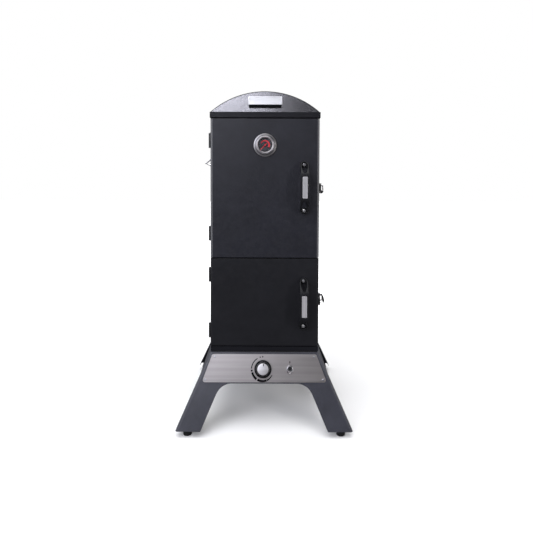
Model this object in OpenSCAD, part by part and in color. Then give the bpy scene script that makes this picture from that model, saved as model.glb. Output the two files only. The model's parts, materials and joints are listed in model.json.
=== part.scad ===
// Vertical gas water smoker: a tall two-door cabinet with an arched roof on a splayed sheet-metal base.
// Millimetres, +Z up. The front faces -Y and the origin is the middle of the footprint on the ground.

/* [Cabinet] */
// Width of the cabinet and its doors
cab_w = 398; // [380:2:420]
// Depth from the door fronts to the back panel
cab_d = 380; // [360:2:400]
// Height of the cabinet from the base up to the cap
cab_h = 860; // [850:2:880]
// Thickness of the cabinet's sheet metal
sheet = 1.6; // [1.2:0.1:2]

/* [Doors] */
// Depth of a door
door_d = 29; // [26:1:32]
// Radius of the doors' upright front edges
door_r = 8; // [4:1:10]
// Height of the gap between the two doors
split_z = 612; // [600:1:620]
// Distance of the handles from the middle of the doors
handle_x = 142; // [120:1:150]
// Length of a handle
handle_len = 190; // [180:2:200]
// Distance that a handle stands out from its door
handle_out = 50; // [46:1:56]

/* [Roof] */
// Height of the flat cap under the arch
cap_h = 20; // [16:1:24]
// Rise of the arched roof above the cap
arch_rise = 74; // [60:1:90]

/* [Base] */
// Height of the base, from the ground to the cabinet
base_h = 264; // [250:1:280]
// Sideways spread of a leg between the cabinet and the leg's lower end
spread_x = 110; // [90:1:120]
// Forward or backward spread of a leg over the same height
spread_y = 97; // [80:1:110]
// Height of the legs' lower ends above the ground
leg_z = 22; // [20:1:26]
// Thickness of the leg panels
leg_t = 2; // [1.6:0.1:2.4]

/* [Controls] */
// Sideways place of the gas knob
knob_x = -5; // [-20:1:20]
// Radius of the knob's skirt
knob_r = 31; // [26:1:34]
// Sideways place of the igniter
igniter_x = 93; // [80:1:110]

/* [Thermometer] */
// Radius of the thermometer's bezel
thermo_r = 42; // [38:1:46]
// Height of the thermometer's centre
thermo_z = 1024; // [1010:1:1030]

/* [Hidden] */
$fn = 48;

// Cabinet planes
half_w = cab_w / 2;
front_y = -cab_d / 2;
back_y = cab_d / 2;
door_back_y = front_y + door_d;
gasket_t = 4.6;
gasket_gap = 0.4;
frame_y = door_back_y + gasket_t + gasket_gap;
cab_top = base_h + cab_h;
cap_top = cab_top + cap_h;
flange = 24;

// Doors: [lower edge, upper edge]
door_gap = 4;
lower_span = [base_h + 24, split_z - door_gap / 2];
upper_span = [split_z + door_gap / 2, cab_top - door_gap];
door_t = 1.2;
lower_handle_z = (lower_span[0] + lower_span[1]) / 2 - 3;
upper_handle_z = (upper_span[0] + upper_span[1]) / 2 + 3;

// Base planes: the corner line of each leg runs from the cabinet's corner down and outwards
leg_drop = base_h - leg_z;
tilt = atan(spread_y / leg_drop);
side_tilt = atan(spread_x / leg_drop);
slope_front = spread_x * cos(tilt) / leg_drop;
slope_side = spread_y * cos(side_tilt) / leg_drop;
bend_r = 9;
leg_w = 87;
arch_drop = 99;
foot_x = half_w + spread_x - 39;
foot_y = cab_d / 2 + spread_y - 25;

// Control panel plate, in the tilted front plane: heights are distances down the plane
panel_top = 7.2;
panel_bottom = 102.7;
panel_t = 1.5;
knob_drop = 58;
igniter_drop = 56;
screw_inset = 9;

// Burner and gas line
burner_r = 17;
burner_wall = 1.5;
riser_y = -115;
burner_z = 305;
mouth_z = 192;
inlet_x = -185;
inlet_z = 212;
inlet_thread_r = 7.94;

// Shelves, from the lowest grid up
grid_z = [for (i = [0 : 3]) 700 + 100 * i];
bowl_z = 590;
box_z = 380;
rail_y0 = -140;
rail_len = 300;

// Hinges and latches
hinge_x = -half_w - 5;
hinge_y = door_back_y - 2;
hinge_r = 4.4;
hinge_pin_r = 2.5;
hinge_h = 54;
upper_hinge_z = [700, 1043];
lower_hinge_z = [337, 546];
latch_x = half_w + 9;
latch_y = frame_y + 23;
latch_pin_r = 2;
upper_latch_z = 869;
lower_latch_z = 450;

// Exhaust damper on the left side
damper_y = -95;
damper_z = 958;
damper_r = 40;

// ---------- shape helpers ----------

function unit(v) = v / norm(v);

// The points that round corner b, given as [x, y, radius], between its neighbours a and c
function corner_arc(a, b, c, n) =
    let (p = [b[0], b[1]], u = unit([a[0], a[1]] - p), v = unit([c[0], c[1]] - p), r = b[2])
    r == 0 ? [p] :
    let (half = acos(u * v) / 2,
         centre = p + unit(u + v) * r / sin(half),
         start = p + u * r / tan(half) - centre,
         turn = (u[0] * v[1] - u[1] * v[0] < 0 ? 1 : -1) * (180 - 2 * half),
         from = atan2(start[1], start[0]))
    [for (i = [0 : n]) centre + r * [cos(from + turn * i / n), sin(from + turn * i / n)]];

// Outline through corners given as [x, y, radius]
function rounded(pts, n = 6) =
    [for (i = [0 : len(pts) - 1])
        each corner_arc(pts[(i + len(pts) - 1) % len(pts)], pts[i], pts[(i + 1) % len(pts)], n)];

function box_corners(w, h, r) =
    [[w / 2, h / 2, r], [-w / 2, h / 2, r], [-w / 2, -h / 2, r], [w / 2, -h / 2, r]];

// Section of a sheet bent once: one arm along +X, the other at the given angle to it
function bent_sheet(arm_a, arm_b, angle, t, r, n = 6) =
    let (centre = [r / tan(angle / 2), r],
         arm = [cos(angle), sin(angle)],
         inward = [sin(angle), -cos(angle)],
         turn = [for (i = [0 : n]) 270 - (180 - angle) * i / n])
    concat([[arm_a, 0]],
        [for (a = turn) centre + r * [cos(a), sin(a)]],
        [arm * arm_b, arm * arm_b + inward * t],
        [for (i = [0 : n]) centre + (r - t) * [cos(turn[n - i]), sin(turn[n - i])]],
        [[arm_a, t]]);

module rounded_box(w, h, r, depth) {
    linear_extrude(depth) polygon(rounded(box_corners(w, h, r)));
}

// Round bar from point a to point b
module bar(a, b, r) {
    d = b - a;
    translate(a) rotate([0, acos(d[2] / norm(d)), atan2(d[1], d[0])]) cylinder(h = norm(d), r = r);
}

// Round pipe through points, with ball corners
module pipe(pts, r) {
    for (i = [0 : len(pts) - 2]) bar(pts[i], pts[i + 1], r);
    for (i = [1 : len(pts) - 2]) translate(pts[i]) sphere(r);
}

// A route through points with its corners eased over a distance e
function eased(pts, e) = [for (i = [0 : len(pts) - 1])
    each (i == 0 || i == len(pts) - 1) ? [pts[i]] :
    let (p = pts[i], a = p + unit(pts[i - 1] - p) * e, c = p + unit(pts[i + 1] - p) * e)
    [for (t = [0 : 0.2 : 1]) (1 - t) * (1 - t) * a + 2 * t * (1 - t) * p + t * t * c]];

// The rings of a swept tube: each ring is the last one slid along its stretch to the next mitre plane
function sweep_rings(pts, ring, i = 0) =
    i == len(pts) - 1 ? [ring] :
    let (d = unit(pts[i + 1] - pts[i]),
         m = i == len(pts) - 2 ? d : unit(d + unit(pts[i + 2] - pts[i + 1])))
    concat([ring], sweep_rings(pts, [for (p = ring) p + d * (((pts[i + 1] - p) * m) / (d * m))], i + 1));

// Thin bent tube or wire along a route whose first stretch runs along Z or Y
module swept(pts, r, sides) {
    d = unit(pts[1] - pts[0]);
    u = unit(cross(d, [1, 0, 0]));
    v = cross(d, u);
    rings = sweep_rings(pts, [for (k = [0 : sides - 1])
        let (a = 360 * k / sides) pts[0] + r * (cos(a) * u + sin(a) * v)]);
    last = len(rings) - 1;
    polyhedron(points = [for (g = rings) each g], faces = concat(
        [[for (k = [0 : sides - 1]) k]],
        [for (j = [0 : last - 1]) for (k = [0 : sides - 1])
            let (a = j * sides, k2 = (k + 1) % sides) [a + k2, a + k, a + sides + k, a + sides + k2]],
        [[for (k = [sides - 1 : -1 : 0]) last * sides + k]]));
}

// Shallow open pan with a floor, centred on the origin
module pan(w, d, h, r, t) {
    difference() {
        rounded_box(w, d, r, h);
        translate([0, 0, t]) rounded_box(w - 2 * t, d - 2 * t, r - t, h);
    }
}

// Places: local x stays sideways and local z points out of the surface
module on_door(x, z) {
    translate([x, front_y, z]) rotate([90, 0, 0]) children();
}
module on_front(x, drop) {
    translate([0, front_y, base_h]) rotate([90 - tilt, 0, 0]) translate([x, -drop, 0]) children();
}
module on_side_of_base() {
    translate([half_w, 0, base_h]) rotate([90 - side_tilt, 0, 90]) children();
}
// Local x runs along +Y, local y up, local z along +X
module along_x(p) {
    translate(p) rotate([90, 0, 90]) children();
}

// ---------- cabinet ----------

// A side wall with its front flange, drawn for the left side
module side_wall() {
    translate([-half_w, frame_y, base_h]) linear_extrude(cab_h)
        polygon(bent_sheet(flange, back_y - frame_y, 90, sheet, 4));
}

module damper_ports(r, h) {
    for (a = [45 : 90 : 315]) rotate(a) translate([24, 0, 0]) cylinder(h = h, r = r);
}

module side_panel_left() {
    color("#33343c") difference() {
        side_wall();
        along_x([-half_w - 5, damper_y, damper_z]) damper_ports(9, 20);
        along_x([-half_w - 5, damper_y, damper_z]) cylinder(h = 20, r = 3.1);
    }
}

module side_panel_right() {
    color("#33343c") mirror([1, 0, 0]) side_wall();
}

module back_panel() {
    inner = cab_w - 2 * sheet - 0.2;
    color("#303138") difference() {
        translate([-inner / 2, back_y - 16, base_h + 0.1]) cube([inner, 16, cab_h - 0.2]);
        translate([-inner / 2 + sheet, back_y - 17, base_h]) cube([inner - 2 * sheet, 17 - sheet, cab_h]);
    }
}

// The floor, with drain slots, the burner's hole and two hangers under it for the drip tray
module floor_pan() {
    w = cab_w - 2 * sheet - 0.4;
    y0 = frame_y + 18;
    y1 = back_y - 16.4;
    color("#2d2e34") {
        difference() {
            translate([-w / 2, y0, base_h + 0.2]) cube([w, y1 - y0, 14]);
            translate([-w / 2 + sheet, y0 + sheet, base_h + 0.2 + sheet])
                cube([w - 2 * sheet, y1 - y0 - 2 * sheet, 14]);
            translate([knob_x, riser_y, base_h - 1]) cylinder(h = 5, r = burner_r + 5);
            translate([35, -60, base_h - 1]) cylinder(h = 5, r = 6);
            for (x = [-90, 90]) translate([x - 10, -60, base_h - 1]) cube([20, 160, 5]);
        }
        for (side = [0, 1]) mirror([side, 0, 0]) {
            translate([152, -90, base_h - 52]) cube([sheet, 260, 52.4]);
            translate([140, -90, base_h - 52]) cube([12.4, 260, sheet]);
        }
    }
}

// Cross rails of the door frame: a channel whose web carries the gasket
module rail(z0, z1) {
    len = cab_w - 2 * flange - 0.4;
    difference() {
        translate([-len / 2, frame_y, z0]) cube([len, 15, z1 - z0]);
        translate([-len / 2 - 1, frame_y + sheet, z0 + sheet]) cube([len + 2, 15, z1 - z0 - 2 * sheet]);
    }
}

module front_rails() {
    color("#26272c") {
        rail(cab_top - 26, cab_top);
        rail(split_z - 18, split_z + 18);
        rail(base_h + 0.2, base_h + 40);
        translate([0, 0, base_h + 4]) difference() {
            translate([-half_w + 1, front_y + 2, 0]) cube([cab_w - 2, frame_y - front_y - 2.2, 16]);
            translate([-half_w + 1 + sheet, front_y + 2 + sheet, -1])
                cube([cab_w - 2 - 2 * sheet, frame_y - front_y, 17 - sheet]);
        }
    }
}

module top_cap() {
    w = cab_w + 4;
    color("#3a3b42") difference() {
        translate([-w / 2, front_y, cab_top]) cube([w, cab_d, cap_h]);
        translate([-w / 2 + sheet, front_y + sheet, cab_top - 1])
            cube([w - 2 * sheet, cab_d - 2 * sheet, cap_h + 1 - sheet]);
    }
}

// The arch is a circle through the cap's two upper edges and the top of the roof
arch_half = half_w - 1;
arch_r = (arch_half * arch_half + arch_rise * arch_rise) / (2 * arch_rise);

module arch_outline(inset) {
    intersection() {
        translate([0, arch_rise - arch_r]) circle(arch_r - inset, $fn = 96);
        translate([-arch_half, 0.05]) square([2 * arch_half, arch_rise]);
    }
}

module arch_plates() {
    for (y = [front_y + 1.6 + sheet, back_y - 1.6])
        color("#9a9aa2") translate([0, y, cap_top]) rotate([90, 0, 0])
            linear_extrude(sheet) arch_outline(sheet + 0.1);
}

module roof_sheet() {
    color("#55565c") translate([0, back_y, cap_top]) rotate([90, 0, 0])
        linear_extrude(cab_d) difference() {
            arch_outline(0);
            translate([0, arch_rise - arch_r]) circle(arch_r - sheet, $fn = 96);
        }
}

module badge() {
    color("#c8c8cc") translate([0, front_y + 1.5, cap_top + 39]) rotate([90, 0, 0]) difference() {
        rounded_box(122, 29, 4, 12);
        translate([0, 0, 11]) rounded_box(114, 21, 3, 2);
    }
}

// ---------- inside the cabinet ----------

// One angle rail on the left wall, its shelf at the given height
module shelf_rail(z, y0, len) {
    translate([-half_w + sheet + 0.1, y0, z - 14]) cube([sheet, len, 14]);
    translate([-half_w + sheet + 0.1, y0, z - sheet]) cube([14, len, sheet]);
}

module shelf_rails() {
    color("#a8a8a8") for (side = [0, 1]) mirror([side, 0, 0]) {
        for (z = grid_z) shelf_rail(z, rail_y0, rail_len);
        shelf_rail(bowl_z, rail_y0, rail_len);
    }
}

// A grid of round bars in a flat-bar frame, resting on its pair of rails
module cooking_grid(z) {
    w = cab_w - 2 * sheet - 10;
    d = 280;
    bars = 17;
    color("#bdbdbd") translate([0, rail_y0 + 8, z]) {
        for (y = [0, d - 6]) translate([-w / 2, y, 0.1]) cube([w, 6, 6]);
        for (x = [-w / 2, w / 2 - 6]) translate([x, 0, 0.1]) cube([6, d, 6]);
        translate([-w / 2 + 1, d / 2 - 3, 0.1]) cube([w - 2, 6, 3]);
        for (i = [1 : bars]) bar([-w / 2 + w * i / (bars + 1), 3, 4], [-w / 2 + w * i / (bars + 1), d - 3, 4], 2);
    }
}

module cooking_grid_1() { cooking_grid(grid_z[0]); }
module cooking_grid_2() { cooking_grid(grid_z[1]); }
module cooking_grid_3() { cooking_grid(grid_z[2]); }
module cooking_grid_4() { cooking_grid(grid_z[3]); }

module water_bowl() {
    depth = 60;
    w = 300;
    d = 230;
    color("#d0d0d2") translate([0, 10, bowl_z - depth + 1.6]) difference() {
        union() {
            rounded_box(w, d, 40, depth);
            translate([0, 0, depth - 1.5]) rounded_box(370, d + 24, 24, 1.5);
        }
        translate([0, 0, 1.5]) rounded_box(w - 3, d - 3, 38.5, depth);
    }
}

box_w = 260;
box_d = 150;
box_h = 58;
module smoker_box() {
    color("#4a4a4c") translate([0, 10, box_z + 2.1]) pan(box_w, box_d, box_h, 14, 3);
}

module smoker_box_lid() {
    color("#4a4a4c") translate([0, 10, box_z + 2.3 + box_h]) difference() {
        union() {
            rounded_box(box_w + 6, box_d + 6, 16, 4);
            translate([0, 0, 3]) cylinder(h = 8, r = 6);
            translate([0, 0, 10]) cylinder(h = 5, r = 11);
        }
        for (i = [-2, -1, 1, 2]) for (y = [-40, 0, 40])
            translate([i * 48, y, -1]) cylinder(h = 6, r = 6);
    }
}

module box_shelf() {
    w = cab_w - 2 * sheet - 0.4;
    color("#77777a") translate([-w / 2, -90, box_z]) difference() {
        cube([w, 200, 14]);
        translate([sheet, -1, 2]) cube([w - 2 * sheet, 202, 14]);
        translate([w / 2 - 100, 50, -1]) cube([200, 100, 4]);
    }
}

// Tube burner: venturi mouth behind the valve, riser through the floor, ported tube along the cabinet
burner_path = [[knob_x, -160, mouth_z], [knob_x, riser_y, mouth_z], [knob_x, riser_y, burner_z],
    [knob_x, 140, burner_z]];
module burner() {
    inner = burner_r - burner_wall;
    color("#8c8c8e") difference() {
        union() {
            pipe(burner_path, burner_r);
            translate([knob_x - 30, 118, burner_z - 3]) cube([60, 14, 3]);
            for (x = [-30, 27]) translate([knob_x + x, 118, base_h + 2.1]) cube([3, 14, burner_z - base_h - 3]);
        }
        pipe([burner_path[0] - [0, 1, 0], burner_path[1], burner_path[2], burner_path[3] - [0, 2, 0]], inner);
        for (y = [-80 : 15 : 115]) translate([knob_x, y, burner_z + 6]) cylinder(h = 20, r = 1.8, $fn = 16);
    }
}

// Spark electrode in its ceramic, and the lead that the igniter feeds
module electrode() {
    color("#e8e4da") {
        translate([35, -60, base_h - 7]) cylinder(h = 44, r = 4);
        swept(eased([[35, -60, base_h + 37.1], [35, -60, burner_z + 12], [16, -60, burner_z + 16]], 4), 1.2, 8);
        swept(eased([[35, -60, base_h - 7.1], [35, -60, base_h - 14], [35, -106, base_h - 14],
            [igniter_x, -140, 215], [igniter_x, -170, 206]], 6), 1.5, 8);
    }
}

// ---------- gas line and controls ----------

module valve_body() {
    color("#b08d4a") on_front(knob_x, knob_drop) difference() {
        union() {
            translate([0, 0, -leg_t - 38]) cylinder(h = 37.8, r = 14);
            translate([0, 0, -leg_t - 46]) cylinder(h = 9, r = 5);
            translate([0, 0, -leg_t - 22]) rotate([0, -90, 0]) cylinder(h = 40, r = 8);
        }
        translate([0, 0, -leg_t - 30]) cylinder(h = 40, r = 4.06);
        translate([0, 0, -leg_t - 47]) cylinder(h = 30, r = 1.2, $fn = 16);
    }
}

module valve_stem() {
    color("#c9b070") on_front(knob_x, knob_drop) translate([0, 0, -leg_t - 28]) cylinder(h = 52, r = 4);
}

// The tube meets the valve's inlet boss and runs back past the drip tray to the inlet fitting
valve_in = [knob_x - 40.1, front_y - knob_drop * sin(tilt) + (leg_t + 22) * cos(tilt),
    base_h - knob_drop * cos(tilt) - (leg_t + 22) * sin(tilt)];
inlet_y0 = back_y + 4;
module gas_tube() {
    color("#b9b9bb") swept(eased([[inlet_x, inlet_y0 - 0.1, inlet_z], [inlet_x, inlet_y0 - 60, inlet_z],
        [inlet_x, valve_in[1], valve_in[2]], valve_in], 20), 5, 16);
}

// Bulkhead fitting through the rear crossbar, with a flared male thread for the gas hose
module gas_inlet() {
    color("#c3a04e") translate([inlet_x, inlet_y0, inlet_z]) rotate([-90, 0, 0]) difference() {
        union() {
            cylinder(h = 50, r = inlet_thread_r);
            cylinder(h = 8, r = 11, $fn = 6);
            translate([0, 0, 26.5]) cylinder(h = 7, r = 13, $fn = 6);
            translate([0, 0, 50]) cylinder(h = 3, r1 = inlet_thread_r, r2 = 5);
        }
        translate([0, 0, 2]) cylinder(h = 60, r = 4);
    }
}

// Corner positions of the control panel's screws, as [x, distance down the plane]
panel_half_top = half_w - 8;
panel_half_bottom = half_w + 26;
screw_at = [for (side = [-1, 1]) each
    [[side * (panel_half_top - screw_inset), panel_top + screw_inset],
     [side * (panel_half_bottom - screw_inset - 3), panel_bottom - screw_inset]]];

module control_holes(screw_r) {
    on_front(knob_x, knob_drop) translate([0, 0, -10]) cylinder(h = 20, r = 7);
    on_front(igniter_x, igniter_drop) translate([0, 0, -10]) cylinder(h = 20, r = 8.7);
    for (p = screw_at) on_front(p[0], p[1]) translate([0, 0, -10]) cylinder(h = 20, r = screw_r, $fn = 24);
}

module control_panel() {
    color("#b4b4ba") difference() {
        union() {
            on_front(0, 0) translate([0, 0, 0.1]) linear_extrude(panel_t)
                polygon(rounded([[panel_half_top, -panel_top, 8], [-panel_half_top, -panel_top, 8],
                    [-panel_half_bottom, -panel_bottom, 8], [panel_half_bottom, -panel_bottom, 8]]));
            on_front(knob_x, knob_drop) translate([0, 0, 0.6]) difference() {
                cylinder(h = panel_t + 0.9, r = knob_r + 4, $fn = 96);
                translate([0, 0, -1]) cylinder(h = 10, r = knob_r + 2.2, $fn = 96);
            }
        }
        control_holes(2.1);
    }
}

module panel_screws() {
    color("#77777c") for (p = screw_at) on_front(p[0], p[1]) {
        translate([0, 0, panel_t + 0.2]) cylinder(h = 1.2, r = 4.2, $fn = 32);
        translate([0, 0, panel_t + 1.4]) cylinder(h = 1, r1 = 4.2, r2 = 2.6, $fn = 32);
        translate([0, 0, -6]) cylinder(h = 8, r = 2, $fn = 24);
    }
}

knob_lift = panel_t + 4.6;
knob_h = 26;
module knob() {
    color("#1b1b1d") on_front(knob_x, knob_drop) translate([0, 0, knob_lift]) difference() {
        rotate_extrude($fn = 96) polygon([[0, 0], [knob_r - 1, 0], [knob_r, 1.5], [knob_r - 1.5, 4.5],
            [knob_r - 5, 6.5], [24.5, 8], [23.2, knob_h - 2], [21.5, knob_h], [0, knob_h]]);
        translate([0, 0, -1]) cylinder(h = 22, r = 4.06);
        translate([0, 0, knob_h - 0.8]) cylinder(h = 2, r = 20.1, $fn = 96);
    }
}

module knob_insert() {
    color("#dcdce0") on_front(knob_x, knob_drop) translate([0, 0, knob_lift + knob_h - 0.8]) {
        cylinder(h = 1.2, r = 20, $fn = 96);
        translate([0, 0, 1]) cylinder(h = 0.8, r1 = 20, r2 = 18.5, $fn = 96);
    }
}

module igniter_body() {
    color("#cfcfd3") on_front(igniter_x, igniter_drop) difference() {
        union() {
            translate([0, 0, panel_t + 0.2]) cylinder(h = 3, r = 10.5);
            translate([0, 0, panel_t + 3]) cylinder(h = 1.2, r1 = 10.5, r2 = 9);
            translate([0, 0, -30]) cylinder(h = 33, r = 8.5);
            translate([0, 0, -leg_t - 7.2]) cylinder(h = 7, r = 13, $fn = 6);
            translate([0, 0, -40]) cylinder(h = 12, r = 5);
        }
        translate([0, 0, -8]) cylinder(h = 30, r = 6.06);
    }
}

module igniter_button() {
    color("#151517") on_front(igniter_x, igniter_drop) {
        translate([0, 0, -3.5]) cylinder(h = 12, r = 6);
        translate([0, 0, 8.5]) cylinder(h = 1, r1 = 6, r2 = 5);
    }
}

// ---------- base ----------

// Opening between the legs, in the tilted front plane; grow moves its edge outwards
module leg_opening(grow) {
    far = leg_drop / cos(tilt) + 40;
    run = sqrt(1 + slope_front * slope_front);
    top = arch_drop / cos(tilt) - grow;
    inner = half_w - leg_w + grow * run;
    polygon(rounded([[inner + slope_front * top, -top, 60 + grow], [-inner - slope_front * top, -top, 60 + grow],
        [-inner - slope_front * far, -far, 0], [inner + slope_front * far, -far, 0]], 12));
}

// Bent corner along a leg's corner line, drawn for the left front leg
module leg_corner() {
    axis = unit([spread_x, spread_y, leg_drop]);
    inward = [0, cos(tilt), -sin(tilt)];
    across = unit(cross(inward, axis));
    side_arm = unit(cross([-cos(side_tilt), 0, sin(side_tilt)], axis));
    start = [-half_w, front_y, base_h] - 330 * axis;
    multmatrix([[across[0], inward[0], axis[0], start[0]], [across[1], inward[1], axis[1], start[1]],
        [across[2], inward[2], axis[2], start[2]], [0, 0, 0, 1]])
        linear_extrude(360) polygon(bent_sheet(30, 27, acos(across * side_arm), leg_t, bend_r));
}

module leg_frame() {
    top = -12;
    far = leg_drop / cos(tilt) + 12;
    edge = half_w - 16 * sqrt(1 + slope_front * slope_front);
    intersection() {
        translate([-500, -500, leg_z]) cube([1000, 500, leg_drop]);
        union() {
            on_front(0, 0) translate([0, 0, -leg_t]) linear_extrude(leg_t) difference() {
                polygon([[edge + slope_front * top, -top], [-edge - slope_front * top, -top],
                    [-edge - slope_front * far, -far], [edge + slope_front * far, -far]]);
                leg_opening(0);
            }
            on_front(0, 0) translate([0, 0, -9]) linear_extrude(9) difference() {
                leg_opening(leg_t);
                leg_opening(0);
            }
            for (side = [0, 1]) mirror([side, 0, 0]) {
                leg_corner();
                translate([-foot_x - 24, -foot_y - 22.6, leg_z]) cube([50, 44, leg_t]);
            }
        }
    }
}

module foot_holes() {
    for (x = [-foot_x, foot_x]) translate([x, -foot_y, 0]) cylinder(h = 60, r = 3.1);
}

module front_leg_panel() {
    color("#4c4d55") difference() {
        leg_frame();
        foot_holes();
        control_holes(2.1);
    }
}

module rear_leg_panel() {
    color("#4c4d55") mirror([0, 1, 0]) difference() {
        leg_frame();
        foot_holes();
        translate([-157, front_y - 60, base_h - 56]) cube([314, 80, 42]);
        translate([inlet_x, front_y - 60, inlet_z]) rotate([-90, 0, 0]) cylinder(h = 80, r = inlet_thread_r + 1);
    }
}

// Sloping cross panels that tie the front and rear legs together, inside the legs' side arms
module base_side_panels() {
    drop = 100 / cos(side_tilt);
    edge = cab_d / 2 - 13;
    color("#4c4d55") for (side = [0, 1]) mirror([side, 0, 0])
        on_side_of_base() translate([0, 0, -2 * leg_t - 0.2]) linear_extrude(leg_t)
            polygon([[edge + 2, -4], [-edge - 2, -4],
                [-edge - slope_side * drop, -drop], [edge + slope_side * drop, -drop]]);
}

module feet() {
    color("#141416") for (x = [-foot_x, foot_x]) for (y = [-foot_y, foot_y]) translate([x, y, 0]) {
        rotate_extrude() polygon([[0, 0], [13.5, 0], [15, 1.5], [15, 16], [12.5, leg_z - 0.1], [0, leg_z - 0.1]]);
        translate([0, 0, leg_z - 1]) cylinder(h = 11, r = 3);
        translate([0, 0, leg_z + leg_t + 0.1]) cylinder(h = 5, r = 6.5, $fn = 6);
    }
}

// ---------- drip tray ----------

tray_z = base_h - 50;
module drip_tray() {
    color("#9c9ca0") translate([0, 50, tray_z]) {
        difference() {
            translate([-147, -135, 0]) cube([294, 277, 28]);
            translate([-147 + sheet, -135 + sheet, sheet]) cube([294 - 2 * sheet, 277 - 2 * sheet, 28]);
        }
        translate([-60, 141, 28 - sheet]) cube([120, 30, sheet]);
        translate([-60, 171 - sheet, 16]) cube([120, sheet, 12]);
    }
}

// ---------- doors ----------

module gasket(z0, z1) {
    w = cab_w - 24;
    translate([0, frame_y, (z0 + z1) / 2]) rotate([90, 0, 0]) linear_extrude(gasket_t) difference() {
        polygon(rounded(box_corners(w, z1 - z0, 10)));
        polygon(rounded(box_corners(w - 18, z1 - z0 - 18, 4)));
    }
}

module door_gaskets() {
    color("#1d1d1f") {
        gasket(lower_span[0] + 5, lower_span[1] - 5);
        gasket(upper_span[0] + 5, upper_span[1] - 5);
    }
}

// Plan of a door from its back at y = 0 to its front, with rounded front corners
module door_plan(w, d, r) {
    polygon(rounded([[w / 2, 0, 0], [-w / 2, 0, 0], [-w / 2, -d, r], [w / 2, -d, r]]));
}

module handle_holes(z) {
    for (dz = [-1, 1]) on_door(handle_x, z + dz * (handle_len / 2 - 11))
        translate([0, 0, -6]) cylinder(h = 12, r = 2.6);
}

// A folded door skin, open at the back
module door_skin(span) {
    difference() {
        translate([0, door_back_y, span[0]]) linear_extrude(span[1] - span[0]) door_plan(cab_w, door_d, door_r);
        translate([0, door_back_y + 1, span[0] + door_t]) linear_extrude(span[1] - span[0] - 2 * door_t)
            door_plan(cab_w - 2 * door_t, door_d + 1 - door_t, door_r - door_t);
    }
}

module door_liner(span) {
    gap = door_t + 0.2;
    difference() {
        translate([-half_w + gap, door_back_y - 12, span[0] + gap])
            cube([cab_w - 2 * gap, 12, span[1] - span[0] - 2 * gap]);
        translate([-half_w + gap + sheet, door_back_y - 13, span[0] + gap + sheet])
            cube([cab_w - 2 * gap - 2 * sheet, 13 - sheet, span[1] - span[0] - 2 * gap - 2 * sheet]);
    }
}

module thermo_hole(r) {
    on_door(0, thermo_z) translate([0, 0, -40]) cylinder(h = 50, r = r);
}

module upper_door() {
    color("#2a2b31") difference() {
        door_skin(upper_span);
        handle_holes(upper_handle_z);
        thermo_hole(6.2);
    }
}

module upper_door_liner() {
    color("#3c3c40") difference() {
        door_liner(upper_span);
        thermo_hole(4.6);
    }
}

module lower_door() {
    color("#232429") difference() {
        door_skin(lower_span);
        handle_holes(lower_handle_z);
    }
}

module lower_door_liner() { color("#3c3c40") door_liner(lower_span); }

// Bridge handle: sloping arms with a teardrop opening over each screw
handle_w = 30;
module handle(z) {
    h = handle_len / 2;
    out = handle_out;
    on_door(handle_x, z) difference() {
        intersection() {
            translate([-handle_w / 2, 0, 0]) along_x([0, 0, 0]) linear_extrude(handle_w)
                polygon(rounded([[-h, 0.1, 0], [-h, 16, 9], [-h + 47, out, 22], [h - 47, out, 22], [h, 16, 9],
                    [h, 0.1, 0], [h - 22, 0.1, 0], [h - 22, 10, 4], [h - 52, out - 14, 14],
                    [-h + 52, out - 14, 14], [-h + 22, 10, 4], [-h + 22, 0.1, 0]]));
            translate([0, 0, -1]) rounded_box(handle_w, handle_len, 14.9, out + 2);
        }
        for (side = [0, 1]) mirror([0, side, 0]) translate([0, 0, 4]) linear_extrude(out)
            polygon(rounded([[11, h - 3.5, 10], [-11, h - 3.5, 10], [-10.2, h - 26, 8], [-3.6, h - 44, 3.2],
                [3.6, h - 44, 3.2], [10.2, h - 26, 8]]));
        translate([0, 0, out - 0.8]) rounded_box(18.2, 77.2, 3.1, 2);
    }
}

module handle_insert(z) {
    on_door(handle_x, z) translate([0, 0, handle_out - 0.8]) rounded_box(18, 77, 3, 1.2);
}

module handle_screws(z) {
    for (dz = [-1, 1]) on_door(handle_x, z + dz * (handle_len / 2 - 11)) {
        rotate_extrude($fn = 48) polygon([[0, 4.1], [6.8, 4.1], [6.8, 6.4], [6.2, 8.2], [4.8, 9.5], [2.6, 10.2],
            [0, 10.3]]);
        translate([0, 0, -9]) cylinder(h = 14, r = 2.5);
        translate([0, 0, -door_t - 4.1]) cylinder(h = 4, r = 5.5, $fn = 6);
    }
}

module handle_body(z) {
    color("#111113") difference() {
        handle(z);
        handle_holes(z);
    }
}

module upper_handle() { handle_body(upper_handle_z); }
module lower_handle() { handle_body(lower_handle_z); }
module upper_handle_insert() { color("#c9c9cd") handle_insert(upper_handle_z); }
module lower_handle_insert() { color("#c9c9cd") handle_insert(lower_handle_z); }
module upper_handle_screws() { color("#e0e0e4") handle_screws(upper_handle_z); }
module lower_handle_screws() { color("#e0e0e4") handle_screws(lower_handle_z); }

// ---------- thermometer ----------

module thermometer_case() {
    color("#d8d8dc") on_door(0, thermo_z) difference() {
        rotate_extrude($fn = 96) polygon([[0, -72], [3, -72], [4, -70], [4, -1.3], [6, -1.3], [6, 0.1],
            [thermo_r, 0.1], [thermo_r, 2.4], [thermo_r - 1.6, 4], [thermo_r - 4.2, 4.6],
            [thermo_r - 5.6, 9.4], [thermo_r - 7.2, 11], [thermo_r - 9.5, 11.2], [thermo_r - 11, 10],
            [thermo_r - 11, 9.6], [thermo_r - 8.6, 9.6], [thermo_r - 8.6, 3], [0, 3]]);
        translate([0, 0, 0.5]) cylinder(h = 5, r = 1.06, $fn = 24);
    }
}

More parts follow.
